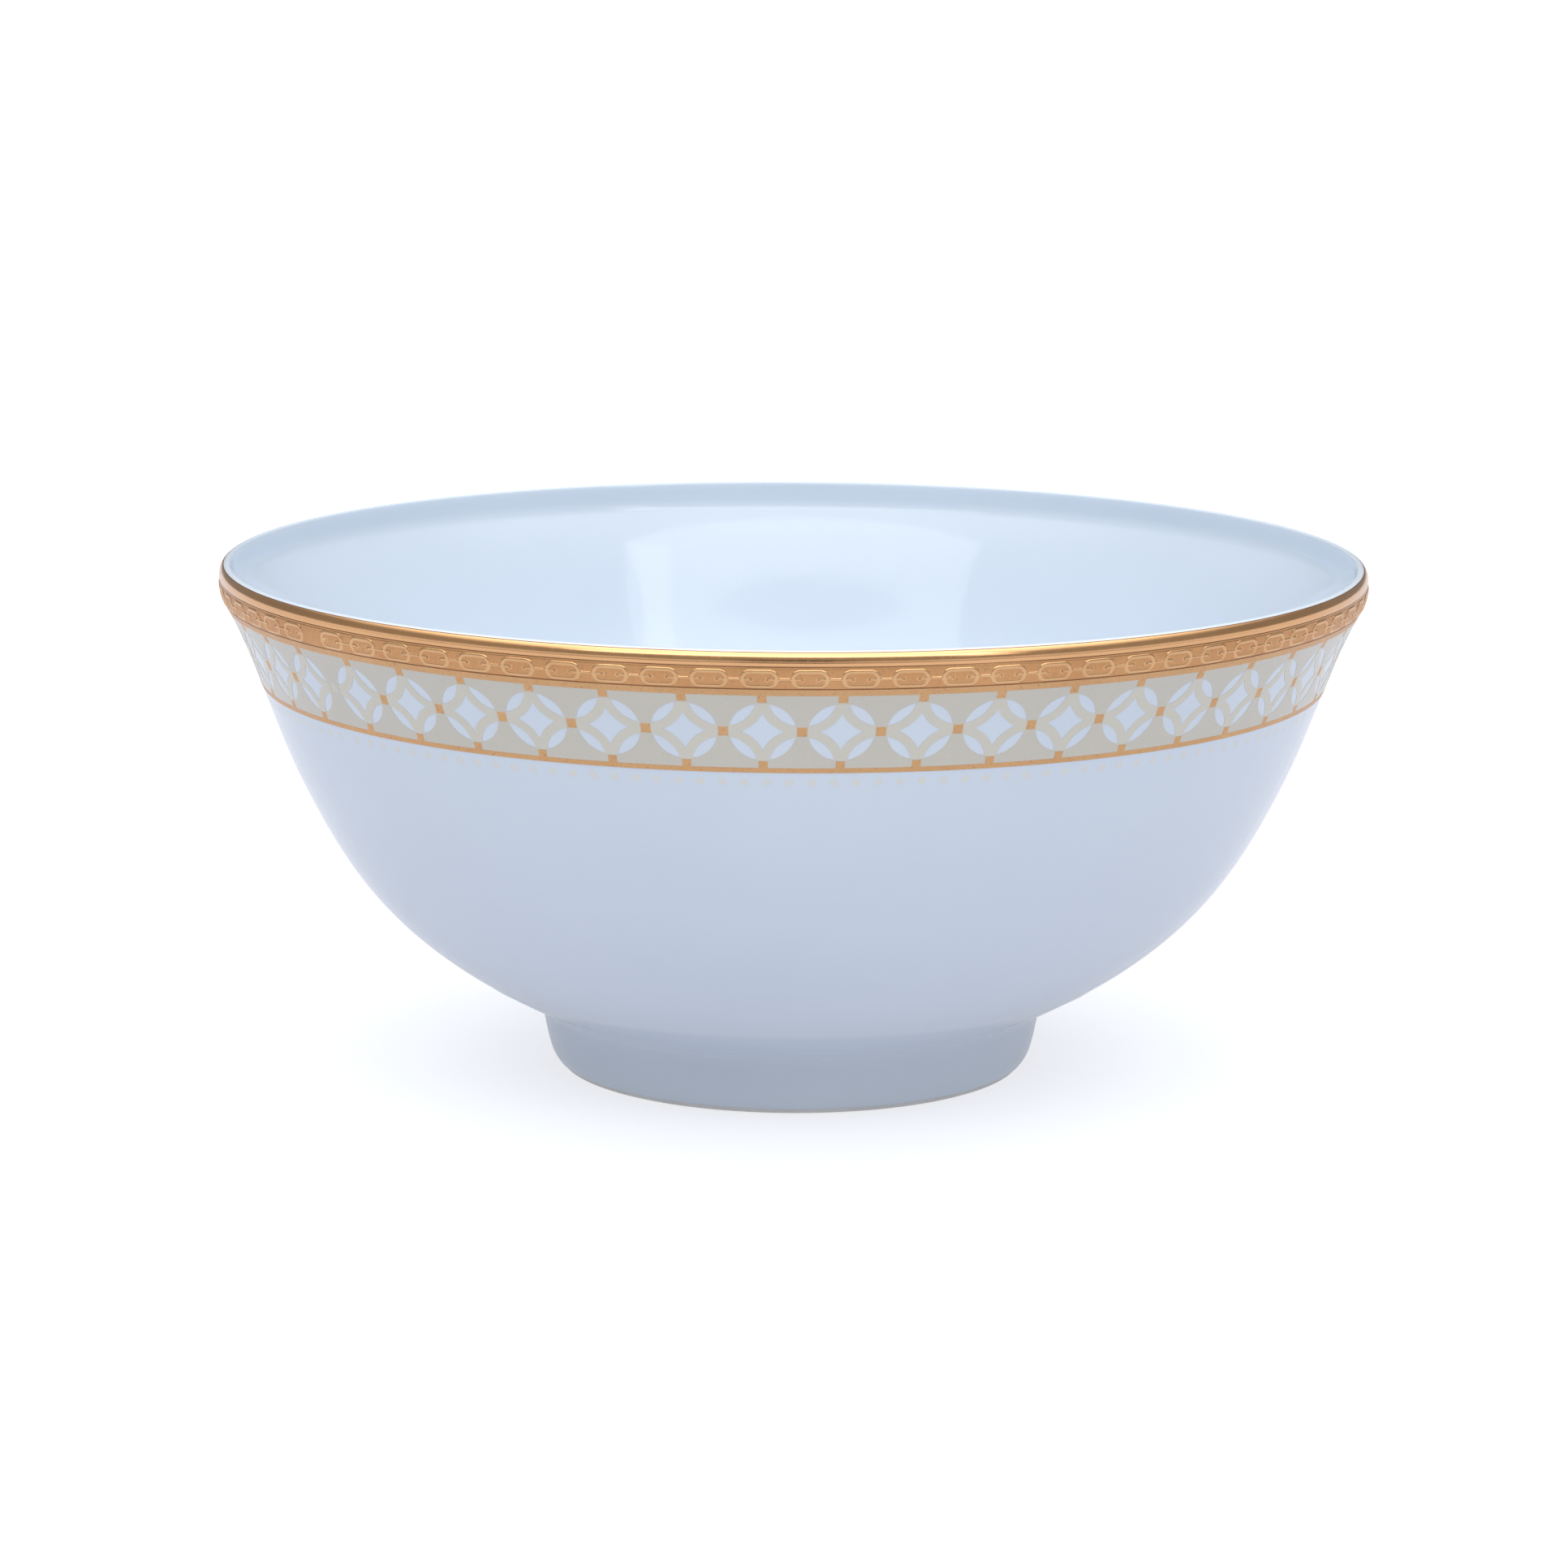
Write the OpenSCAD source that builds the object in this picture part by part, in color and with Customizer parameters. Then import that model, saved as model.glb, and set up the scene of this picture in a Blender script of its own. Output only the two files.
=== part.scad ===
// Round footed porcelain serving bowl with a gilded lip, an etched gold chain
// band and an ivory lattice border. Millimetres, +Z up. The origin is the
// centre of the ring that the foot rests on.

/* [Bowl] */
// Outside diameter at the rim
rim_d = 229; // [215:1:245]
// Height from the resting edge to the top of the lip
bowl_h = 103; // [97:1:109]
// Thickness of the wall just under the lip
lip_t = 2.3; // [2:0.1:2.8]
// Thickness of the wall where it meets the foot
base_t = 5; // [4.4:0.1:5.8]
// Thickness of the fired glaze
glaze_t = 0.3; // [0.2:0.05:0.4]

/* [Border] */
// Thickness of each fired gold or enamel layer
film_t = 0.12; // [0.08:0.02:0.2]
// Number of lattice units around the border
units = 48; // [44:1:52]
// Width of the gold tabs
tab_w = 1.7; // [1.2:0.1:2.2]
// Side of the gold squares
square_w = 1.8; // [1.4:0.1:2.2]
// Radius of the pale dots under the border
dot_r = 0.85; // [0.6:0.05:1]
// Number of pale dots
dots = 163; // [140:1:170]
// How far the two ends of the border are from meeting
border_gap = 1.8; // [0:0.1:3]
// Where the ends meet, in degrees to the left of the front
seam_at = 51.9; // [0:0.1:180]

/* [Chain] */
// Number of links in the gold chain
links = 78; // [72:1:80]
// Height of the raised chain above its band
relief_t = 0.28; // [0.2:0.02:0.4]
// Length of one link
link_len = 7.1; // [6.4:0.1:7.2]
// Height of one link
link_h = 3.6; // [3:0.1:3.7]
// Width of the raised rim of a link
link_rim = 0.9; // [0.6:0.1:0.9]
// Extra space between the first link and the last
chain_gap = 3.9; // [0:0.1:5]

/* [Hidden] */
$fn = 180;

// ---- the section of the bowl ----------------------------------------
// The section is drawn for a 229 mm bowl 103 mm high, and stretched
// to the size asked for.
kx = rim_d / 229;
kz = bowl_h / 103;
function sc(p) = [p[0] * kx, p[1] * kz];
function scl(l) = [for (p = l) sc(p)];

function bez3(p, t) =
    pow(1 - t, 3) * p[0] + 3 * pow(1 - t, 2) * t * p[1]
    + 3 * (1 - t) * t * t * p[2] + pow(t, 3) * p[3];
function curve(p, n, a = 0, b = 1) =
    [for (i = [0 : n]) bez3(p, a + (b - a) * i / n)];
function tail(l) = [for (i = [1 : len(l) - 1]) l[i]];
function rev(l) = [for (i = [len(l) - 1 : -1 : 0]) l[i]];

// Foot: the bare resting edge, then the two glazed flanks.
foot_out_bare = scl([[45.6, 0], [46.7, 0.55]]);
foot_out = scl([[47.4, 1.2], [47.9, 1.9], [48.5, 3], [49, 4.5], [49.5, 6.5],
                [50, 9], [50.5, 11.2], [51.3, 12.6], [52.7, 13.5]]);
foot_in_bare = scl([[42.6, 0], [41.7, 0.5]]);
foot_in = scl([[41.1, 1.2], [40.7, 2], [40.3, 3.4], [40, 5], [39.4, 7],
               [38.6, 8.3], [37.4, 9], [35, 9.3], [20, 9.7], [0, 9.8]]);
// Outer wall: full belly, then a slight waist and a flare to the rim.
belly = scl([[52.7, 13.5], [82, 28], [90, 42.2], [98.5, 59.5]]);
flare = scl([[98.5, 59.5], [104.4, 71.6], [107.5, 84.9], [113.3, 95.4]]);
shoulder = scl([[113.3, 95.4], [113.9, 96.5], [114.4, 97.9], [114.4, 99.6]]);
// The lip is upright for a little way, then a full round to its crest.
crest_r = 115 - lip_t;
lip_out = scl([[114.4, 101], [114.4, 102.1],
               [0.45 * crest_r + 0.55 * 114.4, 103], [crest_r, 103]]);
lip_in = scl([[crest_r, 103], [crest_r - 0.42, 103],
              [114.4 - lip_t, 102.45], [114.4 - lip_t, 100.9]]);

outer_wall = concat(curve(belly, 14), tail(curve(flare, 9)),
                    tail(curve(shoulder, 3)));
outer_side = concat(outer_wall, curve(lip_out, 7));

// The inner wall runs beside the outer one, thicker towards the foot.
function norm2(v) = v / norm(v);
function left_of(v) = [-v[1], v[0]];
function dir_at(l, i) =
    norm2(l[min(i + 1, len(l) - 1)] - l[max(i - 1, 0)]);
function beside(l, i, d) = l[i] + d * left_of(dir_at(l, i));
nw = len(outer_wall) - 1;
function wall_t(i) = lip_t + (base_t - lip_t) * pow(1 - i / nw, 1.6);
inner_wall = [for (i = [nw : -1 : 0]) beside(outer_wall, i, wall_t(i))];
wall_foot = inner_wall[len(inner_wall) - 1];
floor_z = (8.8 + 0.9 * base_t) * kz;
floor_curve = [wall_foot, wall_foot - [8.5, 4.2],
               [25 * kx, floor_z], [0, floor_z]];

// Everything that carries glaze on the outside and inside, in one chain.
skin = concat(foot_out, tail(outer_side), tail(curve(lip_in, 5)),
              inner_wall, tail(curve(floor_curve, 12)));
function inset(l, d) = [for (i = [0 : len(l) - 1])
    let (q = beside(l, i, d)) [i == len(l) - 1 ? 0 : q[0], q[1]]];
skin_in = inset(skin, glaze_t);
under_in = inset(foot_in, -glaze_t);

// The body sits on the foot along a shallow cone between these two
// places in the chains.
joint_out = len(foot_out) - 1;
joint_in = 6;

// ---- where the border lies -------------------------------------------
rim_z0 = 100 * kz;        // lower edge of the bright lip
rim_z1 = 102.71 * kz;     // its upper edge, just outside the crest
etch_z0 = 95.9 * kz;      // lower edge of the etched band
line_z0 = 94.7 * kz;      // lower edge of the plain line
tab_z0 = 93.3 * kz;       // ends of the upper tabs
mid_z = 87.5 * kz;        // middle of the lattice
low_tab_z1 = 81.65 * kz;  // ends of the lower tabs
low_z1 = 80.3 * kz;       // upper edge of the lower line
low_z0 = 79.35 * kz;      // lower edge of the lower line
dot_z = 77.45 * kz;       // middle of the row of dots

// Radius of the outer wall at a height.
wall_table = [for (p = outer_side) [p[1], p[0]]];
function r_at(z) = lookup(z, wall_table);
function lean_at(z) = atan((r_at(z + 1) - r_at(z - 1)) / 2);
function wall_between(z0, z1) = concat([[r_at(z0), z0]],
    [for (p = outer_side) if (p[1] > z0 + 0.05 && p[1] < z1 - 0.05) p],
    [[r_at(z1), z1]]);
// Section of a layer that lies on the wall from z0 to z1.
function layer(z0, z1, lo, hi) =
    let (w = wall_between(z0, z1))
    concat([for (p = w) [p[0] + lo, p[1]]],
           [for (p = rev(w)) [p[0] + hi, p[1]]]);

module ring(z0, z1, lo, hi) {
    rotate_extrude() polygon(layer(z0, z1, lo, hi));
}
// A block that cuts through a layer between two heights and two angles.
module gap_block(z0, z1, a0, a1) {
    r = r_at((z0 + z1) / 2);
    rotate([0, 0, a0]) rotate_extrude(angle = a1 - a0)
        polygon([[r - 4, z0], [r + 4, z0], [r + 4, z1], [r - 4, z1]]);
}
// Copies around the wall, counted from the place where the border's ends
// meet. The front of the bowl faces -Y.
module around(n, first, step) {
    for (k = [0 : n - 1]) rotate([0, 0, first + k * step - seam_at - 90])
        children();
}
// Sets a flat pattern, drawn in X and Y, square to the leaning wall.
module face_out(z) {
    translate([r_at(z), 0, z]) rotate([0, lean_at(z), 0])
        translate([-5, 0, 0]) rotate([90, 0, 90]) children();
}

function wide(w, z) = w / r_at(z) * 180 / PI;
gap_a = wide(border_gap, mid_z);
unit_a = (360 - gap_a) / units;
unit_0 = (gap_a + unit_a) / 2;      // middle of the first unit
pitch = unit_a * r_at(mid_z) * PI / 180;
dot_a = (360 - gap_a) / dots;

// ---- pieces -----------------------------------------------------------
module bowl_body() {
    color("ghostwhite") rotate_extrude() polygon(concat(
        [for (i = [joint_out : len(skin_in) - 1]) skin_in[i]],
        [for (i = [len(under_in) - 1 : -1 : joint_in]) under_in[i]]));
}

module foot_ring() {
    color("lavender") rotate_extrude() polygon(concat(
        foot_out_bare,
        [for (i = [0 : joint_out]) skin_in[i]],
        [for (i = [joint_in : -1 : 0]) under_in[i]],
        rev(foot_in_bare)));
}

module glaze_coat() {
    color("aliceblue") {
        rotate_extrude() polygon(concat(skin, rev(skin_in)));
        rotate_extrude() polygon(concat(foot_in, rev(under_in)));
    }
}

module gold_rim() {
    over = wall_between(rim_z0, rim_z1);
    color("gold") rotate_extrude() polygon(concat(
        over, rev([for (i = [0 : len(over) - 1]) beside(over, i, -film_t)])));
}

module etched_gold_band() {
    color("goldenrod") ring(etch_z0, rim_z0, 0, film_t);
}

module link_outline(len, h) {
    r = h * 0.42;
    union() {
        square([len - 2 * r, h], center = true);
        square([len, h - 2 * r], center = true);
        for (x = [-1, 1]) for (y = [-1, 1])
            translate([x * (len / 2 - r), y * (h / 2 - r)]) circle(r, $fn = 40);
    }
}

// Each link is an oval rim with two small eyes in it, and a bar runs from
// eye to eye between neighbours.
eye_x = 1.47;
module gold_chain_relief() {
    z = (etch_z0 + rim_z0) / 2;
    link_a = (360 - wide(chain_gap, z)) / links;
    step = link_a * r_at(z) * PI / 180;
    first = (wide(chain_gap, z) + link_a) / 2 - 0.3;
    bar = step - 2 * eye_x - 0.6;
    color("darkgoldenrod") intersection() {
        ring(z - 1.95, z + 1.95, film_t, film_t + relief_t);
        union() {
            around(links, first, link_a) face_out(z) linear_extrude(10) {
                difference() {
                    link_outline(link_len, link_h);
                    link_outline(link_len - 2 * link_rim,
                                 link_h - 2 * link_rim);
                }
                for (x = [-eye_x, eye_x]) translate([x, 0]) difference() {
                    circle(0.45, $fn = 32);
                    circle(0.15, $fn = 24);
                }
            }
            around(links - 1, first + link_a / 2, link_a) face_out(z)
                linear_extrude(10) square([bar, 0.7], center = true);
        }
    }
}

// A plain line with a row of tabs: the slot between each pair of tabs is
// cut out of one ring. The slot where the border's ends meet is wider.
module tabbed_line(z0, z1, cut0, cut1, zt) {
    half = wide(tab_w, zt) / 2;
    difference() {
        ring(z0, z1, 0, film_t);
        around(units - 1, unit_0, unit_a)
            gap_block(cut0, cut1, half, unit_a - half);
        around(1, -unit_0, 0)
            gap_block(cut0, cut1, half, unit_a + gap_a - half);
    }
}

module upper_gold_line() {
    color("goldenrod")
        tabbed_line(tab_z0, etch_z0, tab_z0 - 1, line_z0, tab_z0);
}

module lower_gold_line() {
    color("goldenrod")
        tabbed_line(low_z0, low_tab_z1, low_z1, low_tab_z1 + 1, low_z1);
}

// Openings of one lattice unit: the four-pointed star under a tab, and
// the four leaves between it and its neighbours.
module star(p) {
    difference() {
        square(p * 0.54, center = true);
        for (x = [-1, 1]) for (y = [-1, 1])
            translate([x * p / 2, y * p / 2]) circle(p * 0.548, $fn = 96);
    }
}
module leaf(p) {
    intersection() {
        circle(p * 0.427, $fn = 96);
        translate([p / 2, p / 2]) circle(p * 0.423, $fn = 96);
    }
}

module ivory_lattice_band() {
    half = wide(tab_w, mid_z) / 2;
    sq = wide(square_w, mid_z) / 2;
    color("antiquewhite") difference() {
        ring(low_z1, line_z0, 0, film_t);
        around(units, unit_0, unit_a) {
            gap_block(tab_z0, line_z0 + 1, -half, half);
            gap_block(low_z1 - 1, low_tab_z1, -half, half);
            face_out(mid_z) linear_extrude(10) {
                star(pitch);
                for (x = [0, 1]) for (y = [0, 1])
                    mirror([x, 0, 0]) mirror([0, y, 0]) leaf(pitch);
            }
        }
        around(units - 1, unit_0 + unit_a / 2, unit_a)
            gap_block(mid_z - square_w * 0.46, mid_z + square_w * 0.46, -sq, sq);
    }
}

// One square between each pair of units, and none where the ends meet.
module gold_squares() {
    sq = wide(square_w, mid_z);
    color("gold") around(units - 1, unit_0 + unit_a / 2, unit_a)
        rotate([0, 0, -sq / 2])
        rotate_extrude(angle = sq) polygon(layer(
            mid_z - square_w * 0.46, mid_z + square_w * 0.46, 0, film_t));
}

module ivory_dot_border() {
    color("linen") around(dots, (gap_a + dot_a) / 2 - 0.6, dot_a)
        translate([r_at(dot_z) + 0.005, 0, dot_z])
        rotate([0, 90 + lean_at(dot_z), 0]) cylinder(r = dot_r, h = film_t / 2, $fn = 32);
}

bowl_body();
foot_ring();
glaze_coat();
gold_rim();
etched_gold_band();
gold_chain_relief();
upper_gold_line();
ivory_lattice_band();
gold_squares();
lower_gold_line();
ivory_dot_border();
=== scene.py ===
import math

import bpy
import numpy as np
from mathutils import Matrix, Vector
from mathutils.geometry import delaunay_2d_cdt


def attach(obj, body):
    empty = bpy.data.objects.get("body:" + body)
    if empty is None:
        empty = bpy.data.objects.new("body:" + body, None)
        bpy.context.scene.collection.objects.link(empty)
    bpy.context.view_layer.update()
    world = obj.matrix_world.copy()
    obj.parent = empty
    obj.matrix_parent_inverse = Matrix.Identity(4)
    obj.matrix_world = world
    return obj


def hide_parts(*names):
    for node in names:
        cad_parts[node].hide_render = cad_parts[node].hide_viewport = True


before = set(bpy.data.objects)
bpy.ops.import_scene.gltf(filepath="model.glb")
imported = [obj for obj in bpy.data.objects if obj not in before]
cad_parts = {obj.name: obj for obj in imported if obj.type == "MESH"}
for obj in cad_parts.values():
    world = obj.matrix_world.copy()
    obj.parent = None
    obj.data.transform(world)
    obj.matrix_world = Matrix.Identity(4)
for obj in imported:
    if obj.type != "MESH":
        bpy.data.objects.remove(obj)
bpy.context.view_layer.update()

MM = 0.001
TAU = 2 * math.pi

# ---------------------------------------------------------------- section
# The same section as the CAD design, in millimetres, drawn as smooth curves.
LIP_T, BASE_T, GLAZE_T = 2.3, 5.0, 0.3
FOOT_OUT_BARE = [[45.6, 0], [46.7, .55]]
FOOT_OUT = [[47.4, 1.2], [47.9, 1.9], [48.5, 3], [49, 4.5], [49.5, 6.5],
            [50, 9], [50.5, 11.2], [51.3, 12.6], [52.7, 13.5]]
FOOT_IN_BARE = [[42.6, 0], [41.7, .5]]
FOOT_IN = [[41.1, 1.2], [40.7, 2], [40.3, 3.4], [40, 5], [39.4, 7],
           [38.6, 8.3], [37.4, 9], [35, 9.3], [20, 9.7], [0, 9.8]]
BELLY = [[52.7, 13.5], [82, 28], [90, 42.2], [98.5, 59.5]]
FLARE = [[98.5, 59.5], [104.4, 71.6], [107.5, 84.9], [113.3, 95.4]]
SHOULDER = [[113.3, 95.4], [113.9, 96.5], [114.4, 97.9], [114.4, 99.6]]
CREST_R = 115 - LIP_T
LIP_OUT = [[114.4, 101], [114.4, 102.1], [0.45 * CREST_R + 0.55 * 114.4, 103], [CREST_R, 103]]
LIP_IN = [[CREST_R, 103], [CREST_R - 0.42, 103], [114.4 - LIP_T, 102.45],
          [114.4 - LIP_T, 100.9]]


def bez(p, n, a=0.0, b=1.0):
    t = np.linspace(a, b, n + 1)[:, None]
    p = np.array(p, float)
    return ((1 - t) ** 3 * p[0] + 3 * (1 - t) ** 2 * t * p[1]
            + 3 * (1 - t) * t * t * p[2] + t ** 3 * p[3])


def smooth(points, per):
    """Catmull-Rom curve through the points."""
    p = np.array(points, float)
    p = np.vstack([2 * p[0] - p[1], p, 2 * p[-1] - p[-2]])
    out = []
    for i in range(1, len(p) - 2):
        for k in range(per):
            t = k / per
            a, b, c, d = p[i - 1], p[i], p[i + 1], p[i + 2]
            out.append(0.5 * (2 * b + (c - a) * t + (2 * a - 5 * b + 4 * c - d) * t * t
                              + (3 * b - a - 3 * c + d) * t ** 3))
    out.append(p[-2])
    return np.array(out)


def beside(l, d):
    """The chain moved sideways, to the left of its direction, by d."""
    g = np.gradient(l, axis=0)
    g /= np.linalg.norm(g, axis=1)[:, None]
    n = np.stack([-g[:, 1], g[:, 0]], 1)
    return l + n * (d if np.isscalar(d) else np.asarray(d)[:, None])


n1, n2, n3 = 44, 34, 12
wall = np.vstack([bez(BELLY, n1), bez(FLARE, n2)[1:], bez(SHOULDER, n3)[1:]])
share = np.concatenate([np.linspace(0, 14, n1 + 1), np.linspace(14, 23, n2 + 1)[1:],
                        np.linspace(23, 26, n3 + 1)[1:]]) / 26
upright = np.linspace([114.4, 99.6], [114.4, 101], 8)
lip_out, lip_in = np.vstack([upright[:-1], bez(LIP_OUT, 18)]), bez(LIP_IN, 12)
inner = beside(wall, LIP_T + (BASE_T - LIP_T) * (1 - share) ** 1.6)[::-1]
floor_z = 8.8 + 0.9 * BASE_T
foot_pt = inner[-1]
floor = bez([foot_pt, foot_pt - np.array([8.5, 4.2]), [25, floor_z], [0, floor_z]], 30)
foot_out = smooth(FOOT_OUT, 4)
foot_in = smooth(FOOT_IN, 4)
foot_in[-1, 0] = 0

skin = np.vstack([foot_out, wall[1:], lip_out[1:], lip_in[1:], inner[1:], floor[1:]])
# A faint raised line runs round the wall just above the foot.
ridge = 0.10 * np.exp(-((skin[:, 1] - 19.2) / 0.55) ** 2)
ridge[len(foot_out) + len(wall):] = 0
skin = beside(skin, -ridge)
skin[-1, 0] = 0
skin_in = beside(skin, GLAZE_T)
skin_in[-1, 0] = 0
under_in = beside(foot_in, -GLAZE_T)
under_in[-1, 0] = 0

# Outer side as a chain by height, with its arc length from the crest down.
outer = np.vstack([wall, lip_out[1:]])
arc = np.concatenate([[0], np.cumsum(np.linalg.norm(np.diff(outer, axis=0), axis=1))])
arc = arc[-1] - arc
tangent = np.gradient(outer, axis=0)
tangent /= np.linalg.norm(tangent, axis=1)[:, None]
normal = np.stack([tangent[:, 1], -tangent[:, 0]], 1)


def s_at(z):
    return float(np.interp(z, outer[:, 1], arc))


def on_wall(theta, s, h):
    """Row-frame points, in metres, at angle theta (0 in front, positive to
    the right), arc s down from the crest and height h over the glaze."""
    theta, s, h = np.broadcast_arrays(np.asarray(theta, float), s, h)
    a = arc[::-1]
    r = np.interp(s, a, outer[::-1, 0]) + h * np.interp(s, a, normal[::-1, 0])
    z = np.interp(s, a, outer[::-1, 1]) + h * np.interp(s, a, normal[::-1, 1])
    return np.stack([r * np.sin(theta), -r * np.cos(theta), z], -1) * MM


# Heights of the border's lines, as in the CAD design.
RIM_Z0, RIM_Z1, ETCH_Z0, LINE_Z0, TAB_Z0 = 100, 102.71, 95.9, 94.7, 93.3
MID_Z, LOW_TAB_Z1, LOW_Z1, LOW_Z0, DOT_Z = 87.5, 81.65, 80.3, 79.35, 77.45
S_RIM, S_ETCH, S_LINE, S_TAB = s_at(RIM_Z0), s_at(ETCH_Z0), s_at(LINE_Z0), s_at(TAB_Z0)
S_MID, S_LTAB, S_LOW1, S_LOW0, S_DOT = (s_at(MID_Z), s_at(LOW_TAB_Z1), s_at(LOW_Z1),
                                        s_at(LOW_Z0), s_at(DOT_Z))
MID_R = float(np.interp(MID_Z, outer[:, 1], outer[:, 0]))

UNITS, LINKS, DOTS = 48, 78, 163
SEAM = -0.9065            # where the border's two ends meet, to the left of the front
SEAM_GAP = 0.0165         # what they are short of meeting
UNIT = (TAU - SEAM_GAP) / UNITS
PITCH = UNIT * MID_R      # width of a lattice unit in millimetres
CHAIN_0, CHAIN_GAP = -0.8539, 0.0345
LINK = (TAU - CHAIN_GAP) / LINKS
TAB_W, SQUARE_W, DOT_R = 1.7, 1.8, 0.85
FILM = 0.05               # enamel and gold layers over the glaze


# ---------------------------------------------------------------- meshes
def add_mesh(name, verts, faces, materials, face_slots=None, sharp=None, attribute=None):
    me = bpy.data.meshes.new(name)
    me.from_pydata([tuple(v) for v in np.asarray(verts, float)], [],
                   [tuple(int(i) for i in f) for f in faces])
    for m in materials:
        me.materials.append(m)
    me.polygons.foreach_set("use_smooth", [True] * len(me.polygons))
    if face_slots is not None:
        me.polygons.foreach_set("material_index", list(face_slots))
    if sharp is not None:
        me.set_sharp_from_angle(angle=sharp)
    if attribute is not None:
        key, values = attribute
        at = me.attributes.new(key, "FLOAT", "POINT")
        at.data.foreach_set("value", np.asarray(values, np.float32))
    me.validate()
    me.update()
    # outward-facing: a closed mesh has a positive volume
    p = np.array([v.co[:] for v in me.vertices])
    me.calc_loop_triangles()
    tri = np.array([t.vertices[:] for t in me.loop_triangles])
    if np.einsum("ij,ij->i", p[tri[:, 0]], np.cross(p[tri[:, 1]], p[tri[:, 2]])).sum() < 0:
        me.flip_normals()
    o = bpy.data.objects.new(name, me)
    bpy.context.scene.collection.objects.link(o)
    return o


def revolve(loop, nseg, closed=True):
    """Turns a section (R, z in mm) about Z. Points at R 0 become one vertex."""
    loop = [np.asarray(p, float) for p in loop]
    verts, rows = [], []
    ang = np.arange(nseg) * TAU / nseg
    for p in loop:
        if p[0] < 1e-6:
            rows.append([len(verts)] * nseg)
            verts.append([0, 0, p[1] * MM])
        else:
            rows.append(list(range(len(verts), len(verts) + nseg)))
            verts.extend(np.stack([p[0] * np.sin(ang), -p[0] * np.cos(ang),
                                   np.full(nseg, p[1])], 1) * MM)
    faces = []
    n = len(loop)
    for i in range(n if closed else n - 1):
        a, b = rows[i], rows[(i + 1) % n]
        for k in range(nseg):
            q = [a[k], a[(k + 1) % nseg], b[(k + 1) % nseg], b[k]]
            f = [v for j, v in enumerate(q) if v not in q[:j]]
            if len(f) > 2:
                faces.append(f)
    return verts, faces


def even(loop, gap):
    """Points along an open chain no further apart than gap."""
    out = [loop[0]]
    for p, q in zip(loop[:-1], loop[1:]):
        n = max(1, int(math.ceil(np.linalg.norm(q - p) / gap)))
        out += [p + (q - p) * k / n for k in range(1, n + 1)]
    return np.array(out)


def arc_points(c, r, a0, a1, n):
    a = np.linspace(a0, a1, n + 1)
    return np.stack([c[0] + r * np.cos(a), c[1] + r * np.sin(a)], 1)


def flat_mesh(loops, inside, x0, x1, y0, y1, step, extra=()):
    """Triangles over part of a rectangle. loops are closed outlines whose
    edges the triangles keep; inside(x, y) says what belongs."""
    pts, edges = [], []
    for l in loops:
        base = len(pts)
        pts += [Vector((float(p[0]), float(p[1]))) for p in l]
        edges += [(base + i, base + (i + 1) % len(l)) for i in range(len(l))]
    near = np.array([[p.x, p.y] for p in pts])
    nx, ny = max(2, round((x1 - x0) / step)), max(2, round((y1 - y0) / step))
    for i in range(1, nx):
        for j in range(1, ny):
            q = np.array([x0 + (x1 - x0) * (i + 0.25 * (j % 2)) / nx, y0 + (y1 - y0) * j / ny])
            if q[0] > x1 - 0.3 * step:
                continue
            if np.min(np.sum((near - q) ** 2, 1)) > (0.45 * step) ** 2:
                pts.append(Vector((float(q[0]), float(q[1]))))
    for q in extra:
        pts.append(Vector((float(q[0]), float(q[1]))))
    v, _, f, *_ = delaunay_2d_cdt(pts, edges, [], 0, 1e-7)
    v = np.array([[p.x, p.y] for p in v])
    keep = []
    for t in f:
        c = v[list(t)].mean(0)
        if inside(c[0], c[1]):
            t = list(t)
            a, b, d = v[t[0]], v[t[1]], v[t[2]]
            area = (b[0] - a[0]) * (d[1] - a[1]) - (b[1] - a[1]) * (d[0] - a[0])
            if abs(area) < 1e-9:
                continue
            keep.append(t if area > 0 else t[::-1])
    used = sorted({i for t in keep for i in t})
    new = {i: k for k, i in enumerate(used)}
    return v[used], [[new[i] for i in t] for t in keep]


def weld(parts, tol=1e-4):
    """Joins flat parts [(points, faces, tags)] at equal points."""
    where, pts, faces, tags = {}, [], [], []
    for v, f, t in parts:
        ids = []
        for p in v:
            key = tuple(int(round(c / tol)) for c in p)
            hit = None
            for dx in (0, -1, 1):
                for dy in (0, -1, 1):
                    hit = where.get((key[0] + dx, key[1] + dy) + key[2:], hit)
            if hit is None:
                hit = len(pts)
                where[key] = hit
                pts.append(p)
            ids.append(hit)
        for tri, tag in zip(f, t):
            q = [ids[i] for i in tri]
            if len(set(q)) == len(q):
                faces.append(q)
                tags.append(tag)
    return np.array(pts), faces, tags


def solid_film(pts, faces, tags, top, bottom):
    """Closes a flat sheet (x = angle, y = arc) into a layer: top, sides and
    underside. Returns points (angle, arc, height), faces and tags."""
    n = len(pts)
    seen = {}
    for f in faces:
        for a, b in zip(f, f[1:] + f[:1]):
            seen[(a, b)] = True
    rim = [(a, b) for (a, b) in seen if (b, a) not in seen]
    up = np.concatenate([pts, np.full((n, 1), top)], 1)
    down = np.concatenate([pts, np.full((n, 1), bottom)], 1)
    out = [list(f) for f in faces] + [[i + n for i in f[::-1]] for f in faces]
    t = list(tags) + list(tags)
    for a, b in rim:
        out.append([b, a, a + n, b + n])
        t.append(0)
    return np.vstack([up, down]), out, t


def wrap(pts3):
    return on_wall(pts3[:, 0], pts3[:, 1], pts3[:, 2])


# ---------------------------------------------------------------- materials
def node(nt, kind, at=(0, 0), **values):
    n = nt.nodes.new(kind)
    n.location = at
    for k, v in values.items():
        if k.startswith("_"):
            setattr(n, k[1:], v)
        else:
            n.inputs[k.replace("__", " ")].default_value = v
    return n


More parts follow.
